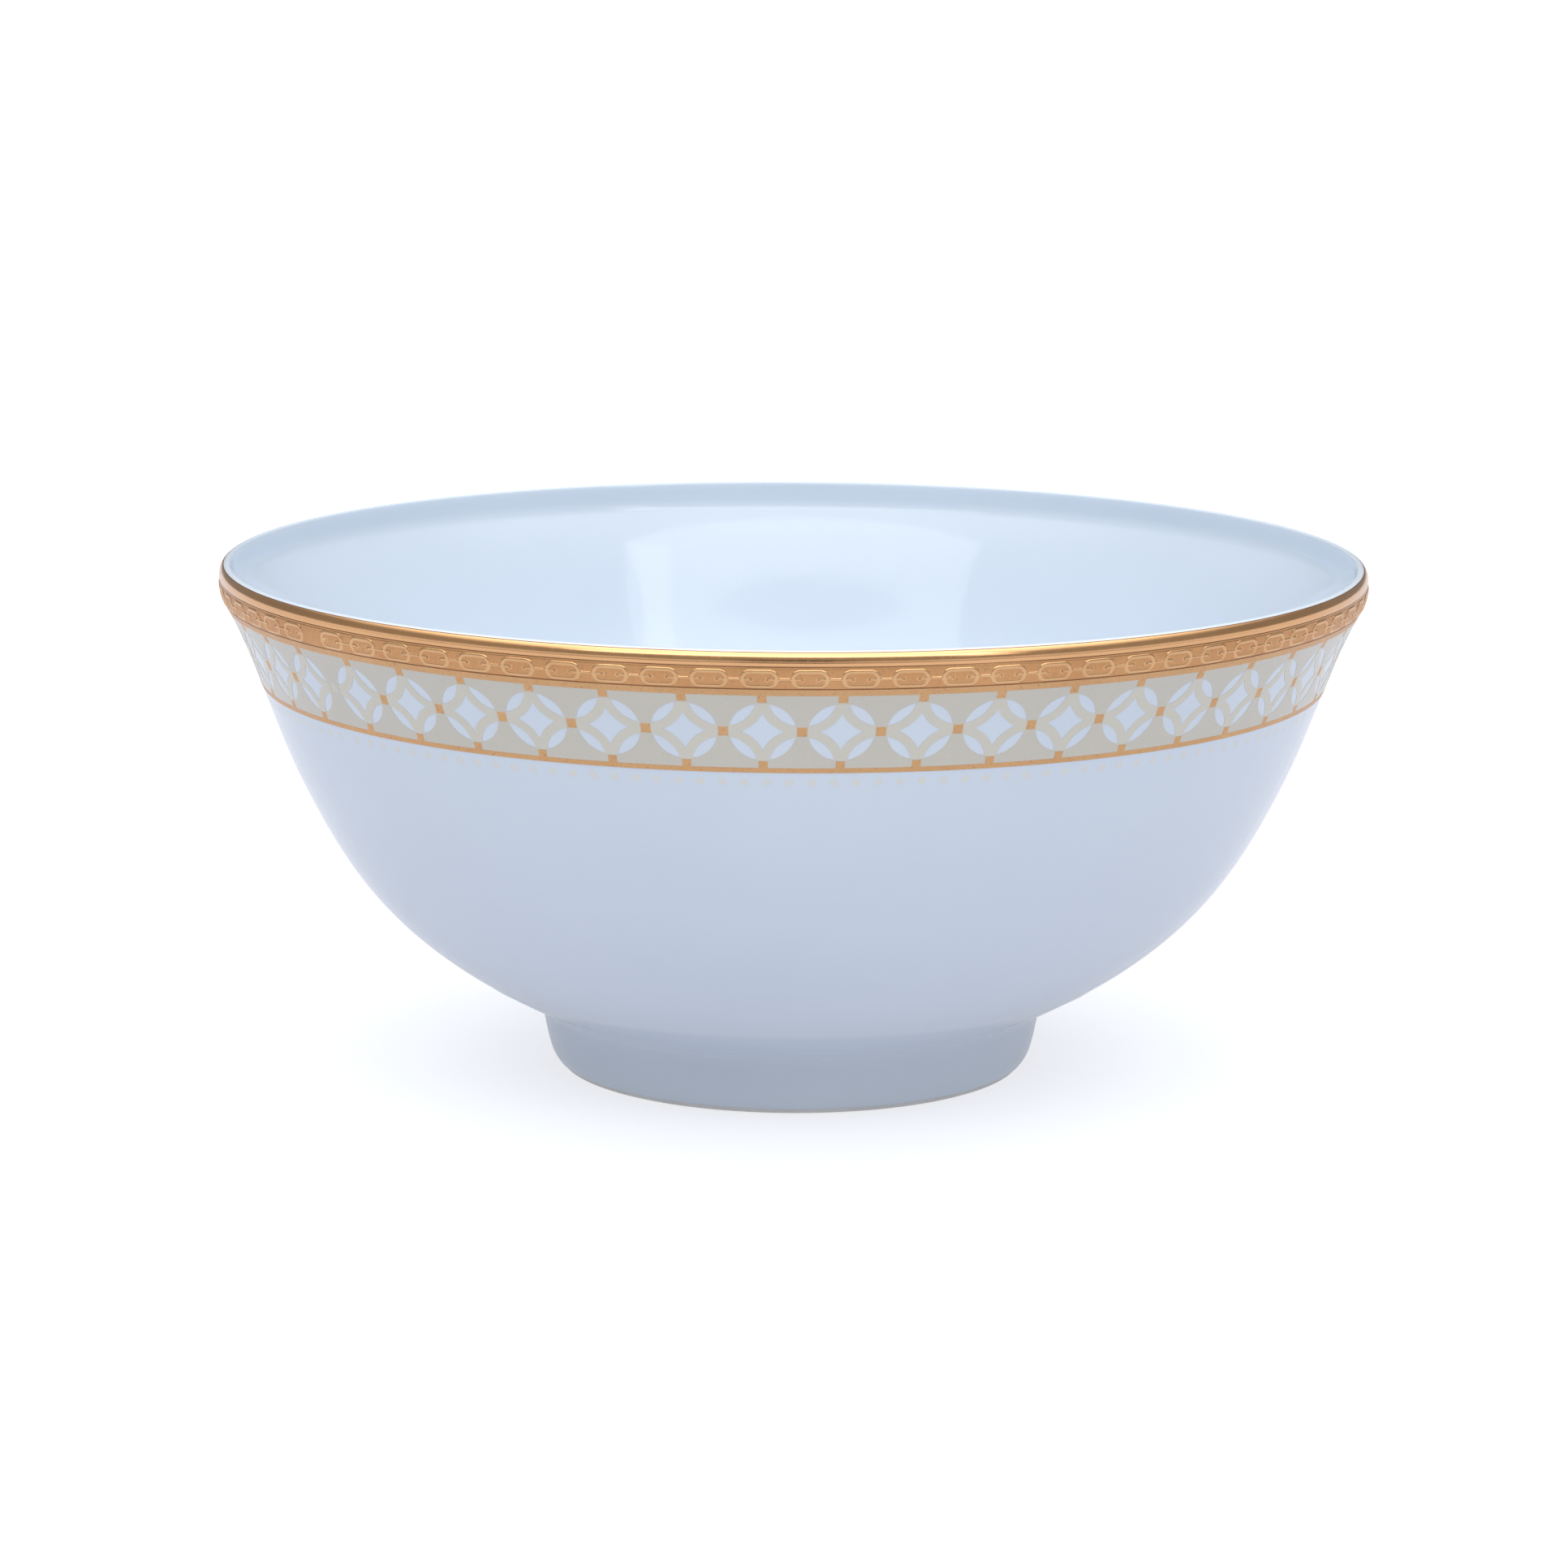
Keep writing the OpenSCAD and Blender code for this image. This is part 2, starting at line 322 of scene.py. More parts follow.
def new_material(name):
    m = bpy.data.materials.new(name)
    m.use_nodes = True
    nt = m.node_tree
    nt.nodes.clear()
    out = nt.nodes.new("ShaderNodeOutputMaterial")
    b = nt.nodes.new("ShaderNodeBsdfPrincipled")
    nt.links.new(b.outputs[0], out.inputs[0])
    return m, nt, b


def coords(nt, scale):
    """Object coordinates times a scale per axis."""
    tc = nt.nodes.new("ShaderNodeTexCoord")
    mp = nt.nodes.new("ShaderNodeMapping")
    mp.inputs["Scale"].default_value = scale if hasattr(scale, "__len__") else (scale,) * 3
    nt.links.new(tc.outputs["Object"], mp.inputs["Vector"])
    return mp.outputs[0]


def turning(nt, around, up):
    """Coordinates that run round the bowl: (angle x around, z x up, radius x up)."""
    tc = nt.nodes.new("ShaderNodeTexCoord")
    sep = nt.nodes.new("ShaderNodeSeparateXYZ")
    nt.links.new(tc.outputs["Object"], sep.inputs[0])
    ang = nt.nodes.new("ShaderNodeMath"); ang.operation = "ARCTAN2"
    nt.links.new(sep.outputs[0], ang.inputs[0])
    neg = nt.nodes.new("ShaderNodeMath"); neg.operation = "MULTIPLY"; neg.inputs[1].default_value = -1
    nt.links.new(sep.outputs[1], neg.inputs[0])
    nt.links.new(neg.outputs[0], ang.inputs[1])
    rad = nt.nodes.new("ShaderNodeVectorMath"); rad.operation = "LENGTH"
    flat = nt.nodes.new("ShaderNodeCombineXYZ")
    nt.links.new(sep.outputs[0], flat.inputs[0]); nt.links.new(sep.outputs[1], flat.inputs[1])
    nt.links.new(flat.outputs[0], rad.inputs[0])
    com = nt.nodes.new("ShaderNodeCombineXYZ")
    for src, k, i in ((ang.outputs[0], around, 0), (sep.outputs[2], up, 1), (rad.outputs["Value"], up, 2)):
        mul = nt.nodes.new("ShaderNodeMath"); mul.operation = "MULTIPLY"; mul.inputs[1].default_value = k
        nt.links.new(src, mul.inputs[0]); nt.links.new(mul.outputs[0], com.inputs[i])
    return com.outputs[0]


def noise(nt, vec, scale, detail=3.0, rough=0.5):
    n = nt.nodes.new("ShaderNodeTexNoise")
    n.inputs["Scale"].default_value = scale
    n.inputs["Detail"].default_value = detail
    n.inputs["Roughness"].default_value = rough
    nt.links.new(vec, n.inputs["Vector"])
    return n.outputs[0]


def ranged(nt, value, lo, hi, a=0.3, b=0.7):
    r = nt.nodes.new("ShaderNodeMapRange")
    r.inputs["From Min"].default_value = a
    r.inputs["From Max"].default_value = b
    r.inputs["To Min"].default_value = lo
    r.inputs["To Max"].default_value = hi
    nt.links.new(value, r.inputs["Value"])
    return r.outputs[0]


def mixed(nt, fac, c1, c2):
    m = nt.nodes.new("ShaderNodeMix")
    m.data_type = "RGBA"
    nt.links.new(fac, m.inputs["Factor"])
    for sock, c in ((m.inputs[6], c1), (m.inputs[7], c2)):
        if isinstance(c, bpy.types.NodeSocket):
            nt.links.new(c, sock)
        else:
            sock.default_value = (*c, 1)
    return m.outputs[2]


def bump(nt, b, height, strength, distance, over=None):
    n = nt.nodes.new("ShaderNodeBump")
    n.inputs["Strength"].default_value = strength
    n.inputs["Distance"].default_value = distance
    nt.links.new(height, n.inputs["Height"])
    if over is not None:
        nt.links.new(over, n.inputs["Normal"])
    return n.outputs[0]


def srgb(r, g, b):
    f = lambda c: c / 255 / 12.92 if c <= 10 else ((c / 255 + 0.055) / 1.055) ** 2.4
    return (f(r), f(g), f(b))


GLAZE_A, GLAZE_B = (0.635, 0.71, 0.805), (0.66, 0.735, 0.825)


def glaze_material():
    m, nt, b = new_material("porcelain_glaze")
    cloud = noise(nt, coords(nt, 1), 18, 4)
    nt.links.new(mixed(nt, ranged(nt, cloud, 0, 1), GLAZE_A, GLAZE_B), b.inputs["Base Color"])
    nt.links.new(ranged(nt, noise(nt, coords(nt, 1), 140, 5, 0.6), 0.05, 0.10), b.inputs["Roughness"])
    peel = bump(nt, b, noise(nt, coords(nt, 1), 260, 2, 0.4), 0.12, 0.00005)
    fine = bump(nt, b, noise(nt, coords(nt, 1), 1600, 3, 0.5), 0.06, 0.00001, peel)
    nt.links.new(fine, b.inputs["Normal"])
    b.inputs["IOR"].default_value = 1.5
    return m


def body_material():
    m, nt, b = new_material("porcelain_body")
    cloud = noise(nt, coords(nt, 1), 60, 4)
    nt.links.new(mixed(nt, ranged(nt, cloud, 0, 1), (0.74, 0.75, 0.76), (0.80, 0.80, 0.80)), b.inputs["Base Color"])
    nt.links.new(ranged(nt, noise(nt, coords(nt, 1), 900, 4), 0.45, 0.65), b.inputs["Roughness"])
    nt.links.new(bump(nt, b, noise(nt, coords(nt, 1), 2500, 3), 0.3, 0.00004), b.inputs["Normal"])
    return m


def bisque_material():
    m, nt, b = new_material("porcelain_bisque")
    cloud = noise(nt, coords(nt, 1), 90, 5)
    grit = noise(nt, coords(nt, 1), 3200, 3, 0.7)
    base = mixed(nt, ranged(nt, cloud, 0, 1), (0.66, 0.66, 0.65), (0.74, 0.74, 0.74))
    nt.links.new(mixed(nt, ranged(nt, grit, 0, 1, 0.62, 0.75), base, (0.45, 0.42, 0.38)), b.inputs["Base Color"])
    nt.links.new(ranged(nt, grit, 0.62, 0.85), b.inputs["Roughness"])
    nt.links.new(bump(nt, b, grit, 0.5, 0.00006), b.inputs["Normal"])
    return m


def gold_material(name, c1, c2, rough, streak, stipple, stipple_scale, worn=None):
    """Fired gold: c1 to c2 in soft clouds, fine streaks round the bowl and
    a stipple of pits."""
    m, nt, b = new_material(name)
    cloud = noise(nt, coords(nt, 1), 70, 4, 0.6)
    line = noise(nt, turning(nt, 14, 5200), 1.0, 3, 0.6)
    col = mixed(nt, ranged(nt, cloud, 0, 1), c1, c2)
    pit = noise(nt, coords(nt, 1), stipple_scale, 3, 0.6)
    if worn is not None:
        col = mixed(nt, ranged(nt, pit, 0, 1, 0.56, 0.74), col, worn)
    nt.links.new(col, b.inputs["Base Color"])
    b.inputs["Metallic"].default_value = 1.0
    both = nt.nodes.new("ShaderNodeMath"); both.operation = "ADD"
    nt.links.new(ranged(nt, line, rough[0], rough[1]), both.inputs[0])
    nt.links.new(ranged(nt, pit, -0.03, 0.05), both.inputs[1])
    nt.links.new(both.outputs[0], b.inputs["Roughness"])
    a = bump(nt, b, line, streak, 0.00003)
    nt.links.new(bump(nt, b, pit, stipple, 0.00003, a), b.inputs["Normal"])
    return m


def enamel_material(name, c1, c2, rough, grain_scale=1500):
    m, nt, b = new_material(name)
    cloud = noise(nt, coords(nt, 1), 60, 4, 0.6)
    grain = noise(nt, coords(nt, 1), grain_scale, 3, 0.6)
    both = nt.nodes.new("ShaderNodeMath"); both.operation = "MULTIPLY_ADD"
    both.inputs[1].default_value = 0.6
    nt.links.new(grain, both.inputs[0])
    nt.links.new(ranged(nt, cloud, 0, 0.4), both.inputs[2])
    nt.links.new(mixed(nt, both.outputs[0], c1, c2), b.inputs["Base Color"])
    nt.links.new(ranged(nt, grain, rough[0], rough[1]), b.inputs["Roughness"])
    nt.links.new(bump(nt, b, grain, 0.15, 0.00002), b.inputs["Normal"])
    return m


def dot_material():
    m, nt, b = new_material("pale_dot_enamel")
    at = nt.nodes.new("ShaderNodeAttribute")
    at.attribute_name = "strength"
    cloud = noise(nt, coords(nt, 1), 900, 3, 0.6)
    both = nt.nodes.new("ShaderNodeMath"); both.operation = "MULTIPLY"
    nt.links.new(at.outputs["Fac"], both.inputs[0])
    nt.links.new(ranged(nt, cloud, 0.75, 1.0), both.inputs[1])
    nt.links.new(mixed(nt, both.outputs[0], tuple((a + c) / 2 for a, c in zip(GLAZE_A, GLAZE_B)),
                       (0.70, 0.705, 0.665)), b.inputs["Base Color"])
    nt.links.new(ranged(nt, cloud, 0.08, 0.14), b.inputs["Roughness"])
    nt.links.new(bump(nt, b, cloud, 0.1, 0.00001), b.inputs["Normal"])
    return m


M_GLAZE = glaze_material()
M_BODY = body_material()
M_BISQUE = bisque_material()
M_RIM = gold_material("burnished_gold", (0.77, 0.43, 0.205), (0.82, 0.465, 0.225), (0.13, 0.19), 0.08, 0.04, 900)
M_ETCH = gold_material("etched_gold", (0.60, 0.31, 0.135), (0.66, 0.355, 0.16), (0.34, 0.46), 0.15, 0.55, 1700,
                       worn=(0.50, 0.26, 0.135))
M_CHAIN = gold_material("chain_gold", (0.71, 0.41, 0.20), (0.78, 0.475, 0.24), (0.25, 0.36), 0.08, 0.2, 1500)
M_LINE = gold_material("satin_gold", (0.62, 0.36, 0.17), (0.68, 0.405, 0.195), (0.32, 0.44), 0.10, 0.4, 2100,
                       worn=(0.48, 0.24, 0.125))
# Dark gold that paints shade into the lip's groove, the etched band's lower groove and the chain's eye holes, and
# paints a dark reflection along the lip's crest.
M_PAINTED_SHADE = gold_material("gold_painted_shade", (0.23, 0.105, 0.05), (0.34, 0.165, 0.08), (0.38, 0.5), 0.05, 0.4, 1900)
M_STROKE = enamel_material("ivory_strokes", (0.61, 0.585, 0.50), (0.66, 0.635, 0.555), (0.14, 0.24))
M_FIELD = enamel_material("ivory_field", (0.57, 0.54, 0.47), (0.615, 0.585, 0.51), (0.16, 0.28))
M_DOT = dot_material()


# ---------------------------------------------------------------- pieces
def finish_piece(o, cad_node):
    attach(o, "root")
    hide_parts(cad_node)
    return o


# Porcelain under the glaze keeps its CAD node.
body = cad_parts["bowl_body"]
body.data.materials.clear()
body.data.materials.append(M_BODY)

NSEG = 256
# Glaze: one coat over everything outside and inside, one under the foot.
# Its hidden side needs only every third point.
hidden = np.vstack([skin_in[:-1:3], skin_in[-1:]])
v, f = revolve(np.vstack([skin, hidden[::-1]]), NSEG)
glaze = add_mesh("glaze_skin", v, f, [M_GLAZE])
finish_piece(glaze, "glaze_coat")
v, f = revolve(np.vstack([foot_in, under_in[::-1]])[::-1], NSEG)
glaze2 = add_mesh("glaze_under_foot", v, f, [M_GLAZE])
finish_piece(glaze2, "glaze_coat")

# Foot: bare, finely ground edge at the bottom, and the clay inside the glaze.
bare_out = smooth([FOOT_OUT_BARE[1], [46.35, .2], FOOT_OUT_BARE[0]], 4)[::-1]
bare_in = smooth([FOOT_IN_BARE[0], [41.95, .15], FOOT_IN_BARE[1]], 4)
n_out = len(foot_out)
i_joint = 6 * 4
loop = np.vstack([bare_out, skin_in[:n_out], under_in[:i_joint + 1][::-1], bare_in[::-1],
                  [[44.1, 0.0]]])
v, f = revolve(loop, NSEG)
foot = add_mesh("foot_clay", v, f, [M_BISQUE])
finish_piece(foot, "foot_ring")


# Gold lip: a thin burnished layer on the round of the lip. It ends just
# outside the crest, and a fine groove parts it from the etched band.
def rim_section():
    zs = outer[:, 1]
    lower = [p for p in outer if RIM_Z0 + 0.05 < p[1] < RIM_Z1 - 0.03]
    start = [np.interp(RIM_Z0, zs, outer[:, 0]), RIM_Z0]
    end = [np.interp(RIM_Z1, zs, outer[:, 0]), RIM_Z1]
    return np.vstack([[start], np.array(lower), [end]])


over = even(rim_section(), 0.09)
zz = over[:, 1]
base = 0.07 + 0.025 * np.exp(-((zz - 100.75) / 0.20) ** 2) \
    - 0.055 * np.exp(-((zz - 100.22) / 0.09) ** 2)
base *= 0.35 + 0.65 * np.clip((RIM_Z1 - zz) / 0.25, 0, 1)
n_over = len(over)
v, f = revolve(np.vstack([beside(over, -base), beside(over, 0.03)[::-1]]), 540)
mid_zz = (zz[1:] + zz[:-1]) / 2
# Painted shade: rows in the groove at z 100.22 take the dark gold. A band just under the gold's top edge takes it
# too, as a painted dark reflection.
painted_shade_rows = (np.abs(mid_zz - 100.22) < 0.075) + (mid_zz > RIM_Z1 - 0.13)
slots = [1 if (k // 540) < n_over - 1 and painted_shade_rows[k // 540] else 0 for k in range(len(f))]
rim = add_mesh("gold_lip", v, f, [M_RIM, M_PAINTED_SHADE], face_slots=slots, sharp=math.radians(50))
finish_piece(rim, "gold_rim")

# Etched band: the gold ground under the chain, with a fine line at each edge.
ss = np.linspace(S_RIM, S_ETCH, 56)
edge = np.minimum(ss - S_RIM, S_ETCH - ss)
hh = 0.06 + 0.025 * np.exp(-((edge - 0.36) / 0.11) ** 2) - 0.045 * np.exp(-((edge - 0.10) / 0.08) ** 2)


def section_at(s, h):
    a = arc[::-1]
    return np.stack([np.interp(s, a, outer[::-1, 0]) + h * np.interp(s, a, normal[::-1, 0]),
                     np.interp(s, a, outer[::-1, 1]) + h * np.interp(s, a, normal[::-1, 1])], 1)


v, f = revolve(np.vstack([section_at(ss, hh)[::-1], section_at(ss, hh * 0 - 0.03)]), 540)
n_ss = len(ss)
mid_edge = ((edge[1:] + edge[:-1]) / 2)[::-1]
low_half = ((ss[1:] + ss[:-1]) / 2)[::-1] > (S_RIM + S_ETCH) / 2
# Painted shade: the groove near the band's lower edge takes the dark gold. The upper groove keeps the etched gold.
painted_shade_rows = (np.abs(mid_edge - 0.11) < 0.085) * low_half
slots = [1 if (k // 540) < n_ss - 1 and painted_shade_rows[k // 540] else 0 for k in range(len(f))]
etched = add_mesh("etched_ground", v, f, [M_ETCH, M_PAINTED_SHADE], face_slots=slots, sharp=math.radians(50))
finish_piece(etched, "etched_gold_band")


# Chain: raised oval links, joined by bars that end in an eye inside each link.
LINK_L, LINK_H, LINK_RIM, EYE_X = 7.05, 3.7, 0.80, 1.42
CHAIN_S = (S_RIM + S_ETCH) / 2 + 0.02
CHAIN_R = float(np.interp(CHAIN_S, arc[::-1], outer[::-1, 0]))
STEP = LINK * CHAIN_R
LOW = -0.03


def box_distance(x, y, r=1.75):
    qx = np.abs(x) - (LINK_L / 2 - r)
    qy = np.abs(y) - (LINK_H / 2 - r)
    return np.hypot(np.maximum(qx, 0), np.maximum(qy, 0)) + np.minimum(np.maximum(qx, qy), 0) - r


def hump(t, width, height):
    """A rounded ridge: 0 and width are its two edges."""
    u = 2 * t / width - 1
    return np.where(np.abs(u) < 1, height * np.sqrt(np.clip(1 - u * u, 0, 1)) ** 1.15, -9.0)


def chain_height(x, y, left, right):
    t = -box_distance(x, y)
    h = np.where(t > 0, 0.072, LOW)
    h = np.maximum(h, hump(t, LINK_RIM, 0.225))
    bar = np.full_like(x, -9.0)
    if left:
        bar = np.maximum(bar, np.where(x < -EYE_X, hump(y + 0.30, 0.60, 0.20), -9.0))
    if right:
        bar = np.maximum(bar, np.where(x > EYE_X, hump(y + 0.30, 0.60, 0.20), -9.0))
    h = np.maximum(h, bar)
    for sx in (-1, 1):
        r = np.hypot(x - sx * EYE_X, y)
        h = np.maximum(h, hump(0.47 - r + 0.0, 0.94, 0.16))
        h = np.where(r < 0.195, 0.03, h)
    return h


def chain_unit(left, right):
    pts = []
    for t, n in ((-0.10, 48), (0.0, 48), (0.04, 48), (0.13, 48), (0.25, 48), (0.40, 48),
                 (0.55, 48), (0.67, 48), (0.76, 44), (0.80, 44), (0.88, 40)):
        r = 1.75 - t
        a, b = LINK_L / 2 - 1.75, LINK_H / 2 - 1.75
        ring = []
        for cx, cy, a0 in ((a, b, 0), (-a, b, 0.5), (-a, -b, 1), (a, -b, 1.5)):
            q = n // 4 - 3
            for k in range(q + 1):
                an = math.pi * (a0 + 0.5 * k / q)
                ring.append((cx + r * math.cos(an), cy + r * math.sin(an)))
        for k in range(1, 6):
            xx = a - 2 * a * k / 6
            ring += [(xx, b + r), (xx, -b - r)]
        ring += [(a + r, 0.0), (-a - r, 0.0)]
        pts += ring
    for sx in (-1, 1):
        pts.append((sx * EYE_X, 0.0))
        for r, n in ((0.18, 10), (0.205, 12), (0.26, 14), (0.33, 14), (0.42, 16), (0.47, 18), (0.53, 18)):
            for k in range(n):
                an = TAU * (k + 0.5 * (n // 2 % 2)) / n
                pts.append((sx * EYE_X + r * math.cos(an), r * math.sin(an)))
    xs = [EYE_X + 0.56 + (STEP / 2 - EYE_X - 0.56) * k / 7 for k in range(8)]
    for sx in (-1, 1):
        for x in xs:
            for y in (-0.36, -0.30, -0.26, -0.18, -0.09, 0, 0.09, 0.18, 0.26, 0.30, 0.36):
                pts.append((sx * x, y))
    for x in np.linspace(-2.2, 2.2, 9):
        for y in (-0.72, -0.5, 0.5, 0.72):
            pts.append((x, y))
    pts += [(x, y) for x in (-0.8, -0.4, 0, 0.4, 0.8) for y in (-0.25, 0, 0.25)]
    # the frame of the unit, so that neighbours share their edge points
    seenp, clean = set(), []
    for p in pts:
        key = (round(p[0], 2), round(p[1], 2))
        if key in seenp or abs(p[0]) > STEP / 2 + 1e-6:
            continue
        seenp.add(key)
        clean.append(p)
    v, _, f, *_ = delaunay_2d_cdt([Vector(p) for p in clean], [], [], 0, 1e-6)
    v = np.array([[p.x, p.y] for p in v])
    h = chain_height(v[:, 0], v[:, 1], left, right)
    keep = []
    for t in f:
        t = list(t)
        if h[t].max() <= LOW + 1e-6:
            continue
        a, b, c = v[t[0]], v[t[1]], v[t[2]]
        area = (b[0] - a[0]) * (c[1] - a[1]) - (b[1] - a[1]) * (c[0] - a[0])
        if abs(area) < 1e-7:
            continue
        keep.append(t if area > 0 else t[::-1])
    used = sorted({i for t in keep for i in t})
    new = {i: k for k, i in enumerate(used)}
    v, h = v[used], h[used]
    top = [[new[i] for i in t] for t in keep]
    # underside: only the outline's points, lower down
    seen = {(a, b) for t in top for a, b in zip(t, t[1:] + t[:1])}
    rim_e = [(a, b) for (a, b) in seen if (b, a) not in seen]
    ids = sorted({i for e in rim_e for i in e})
    loc = {i: k for k, i in enumerate(ids)}
    bv, _, bf, bmap, *_ = delaunay_2d_cdt([Vector(v[i]) for i in ids],
                                          [(loc[a], loc[b]) for a, b in rim_e], [], 1, 1e-7)
    back = [m[0] for m in bmap]
    under = []
    for t in bf:
        q = [ids[back[i]] for i in t]
        a, b, c = v[q[0]], v[q[1]], v[q[2]]
        area = (b[0] - a[0]) * (c[1] - a[1]) - (b[1] - a[1]) * (c[0] - a[0])
        under.append(q if area < 0 else q[::-1])
    pos = [(x, y, hh_) for (x, y), hh_ in zip(v, h)]
    lower = {i: len(pos) + k for k, i in enumerate(ids)}
    pos += [(v[i][0], v[i][1], -0.12) for i in ids]
    faces = top + [[lower[i] for i in q] for q in under]
    for a, b in rim_e:
        if abs(abs(v[a][0]) - STEP / 2) < 1e-4 and abs(abs(v[b][0]) - STEP / 2) < 1e-4:
            continue           # open where the next unit joins on
        faces.append([b, a, lower[a], lower[b]])
    return np.array(pos), faces


def link_tone(x, y, z):
    """0 for the bright ridges, 1 for the matt plate inside a link, 2 for the
    eyes' holes, which are painted with shade."""
    r = min(math.hypot(x - EYE_X, y), math.hypot(x + EYE_X, y))
    if r < 0.20:
        return 2
    t = -float(box_distance(np.array(x), np.array(y)))
    on_bar = abs(y) < 0.30 and abs(x) > EYE_X
    return 1 if t > LINK_RIM and r > 0.47 and not on_bar else 0


def chain_mesh():
    kinds = {k: chain_unit(*k) for k in ((True, True), (False, True), (True, False))}
    tones = {k: [link_tone(*pos[list(f)].mean(0)) for f in faces]
             for k, (pos, faces) in kinds.items()}
    parts = []
    for k in range(LINKS):
        pos, faces = kinds[(k > 0, k < LINKS - 1)]
        th = CHAIN_0 + k * LINK + pos[:, 0] / CHAIN_R
        # y is up the wall, so arc runs the other way
        p = np.stack([th, CHAIN_S - pos[:, 1], pos[:, 2]], 1)
        parts.append((p * [CHAIN_R, 1, 1], faces, tones[(k > 0, k < LINKS - 1)]))
    pts, faces, tags = weld(parts, 1e-3)
    pts = pts / [CHAIN_R, 1, 1]
    return wrap(pts), faces, tags


v, f, tags = chain_mesh()
# The eyes' holes take the dark gold as painted shade.
chain = add_mesh("gold_chain", v, f, [M_CHAIN, M_ETCH, M_PAINTED_SHADE], face_slots=tags, sharp=math.radians(70))
finish_piece(chain, "gold_chain_relief")


# The flat pattern: x to the right, y up, in millimetres about a unit's middle.
def rows_between(y0, y1, gap):
    n = max(1, int(math.ceil(abs(y1 - y0) / gap)))
    return np.linspace(y0, y1, n + 1)


def rectangle(x0, y0, x1, y1, gap, r=0.0, corners=(1, 1, 1, 1)):
    """Closed outline, counter-clockwise, with rounded corners where asked."""
    pts = []
    spec = ((x0, y0, 1.0, 1, 1), (x1, y0, 1.5, -1, 1), (x1, y1, 0.0, -1, -1), (x0, y1, 0.5, 1, -1))
    for (cx, cy, a0, dx, dy), on in zip(spec, corners):
        if on and r > 0:
            pts += list(arc_points((cx + dx * r, cy + dy * r), r, math.pi * a0, math.pi * (a0 + 0.5), 3))
        else:
            pts.append(np.array([cx, cy]))
    pts.append(pts[0])
    return even(np.array(pts), gap)[:-1]


HP = PITCH / 2
up = lambda s: S_MID - s          # arc to y
Y_LINE, Y_TAB, Y_LTAB, Y_LOW1, Y_LOW0, Y_ETCH = (up(S_LINE), up(S_TAB), up(S_LTAB), up(S_LOW1),
                                                 up(S_LOW0), up(S_ETCH))
P = PITCH
R_LEAF_O, R_LEAF_C, R_STAR = 0.427 * P, 0.423 * P, 0.548 * P


def leaf_loop(sx, sy):
    c = np.array([sx * HP, sy * HP])
    d = np.linalg.norm(c)
    # where the two circles meet
    a = (d * d + R_LEAF_O ** 2 - R_LEAF_C ** 2) / (2 * d)
    hgt = math.sqrt(R_LEAF_O ** 2 - a * a)
    u = c / d
    w = np.array([-u[1], u[0]])
    t1, t2 = u * a + w * hgt, u * a - w * hgt

    def piece(cen, r, p, q, n):
        a0 = math.atan2(*(p - cen)[::-1])
        a1 = math.atan2(*(q - cen)[::-1])
        while a1 - a0 > math.pi: a1 -= TAU
        while a1 - a0 < -math.pi: a1 += TAU
        return arc_points(cen, r, a0, a1, n)
    one = piece(np.zeros(2), R_LEAF_O, t2, t1, 20)
    two = piece(c, R_LEAF_C, t1, t2, 20)
    return np.vstack([one[:-1], two[:-1]])


def star_loop():
    """Four concave arcs between the tips; tips lie where the circles cross."""
    tip = HP - math.sqrt(R_STAR ** 2 - HP ** 2)
    pts = []
    for cx, cy, p, q in ((1, 1, (tip, 0), (0, tip)), (-1, 1, (0, tip), (-tip, 0)),
                         (-1, -1, (-tip, 0), (0, -tip)), (1, -1, (0, -tip), (tip, 0))):
        cen = np.array([cx * HP, cy * HP])
        p, q = np.array(p, float), np.array(q, float)
        a0, a1 = math.atan2(*(p - cen)[::-1]), math.atan2(*(q - cen)[::-1])
        while a1 - a0 > math.pi: a1 -= TAU
        while a1 - a0 < -math.pi: a1 += TAU
        pts.append(arc_points(cen, R_STAR, a0, a1, 12)[:-1])
    return np.vstack(pts)


STAR_TIP = HP - math.sqrt(R_STAR ** 2 - HP ** 2)


def in_leaf(x, y):
    x, y = abs(x), abs(y)
    return math.hypot(x, y) < R_LEAF_O and math.hypot(x - HP, y - HP) < R_LEAF_C


def in_star(x, y):
    x, y = abs(x), abs(y)
    return x + y < STAR_TIP * 1.2 and x < STAR_TIP and y < STAR_TIP and math.hypot(x - HP, y - HP) > R_STAR


TW, SQ = TAB_W / 2, SQUARE_W / 2
SQ_Y = 0.98
GAP_MM = SEAM_GAP * MID_R


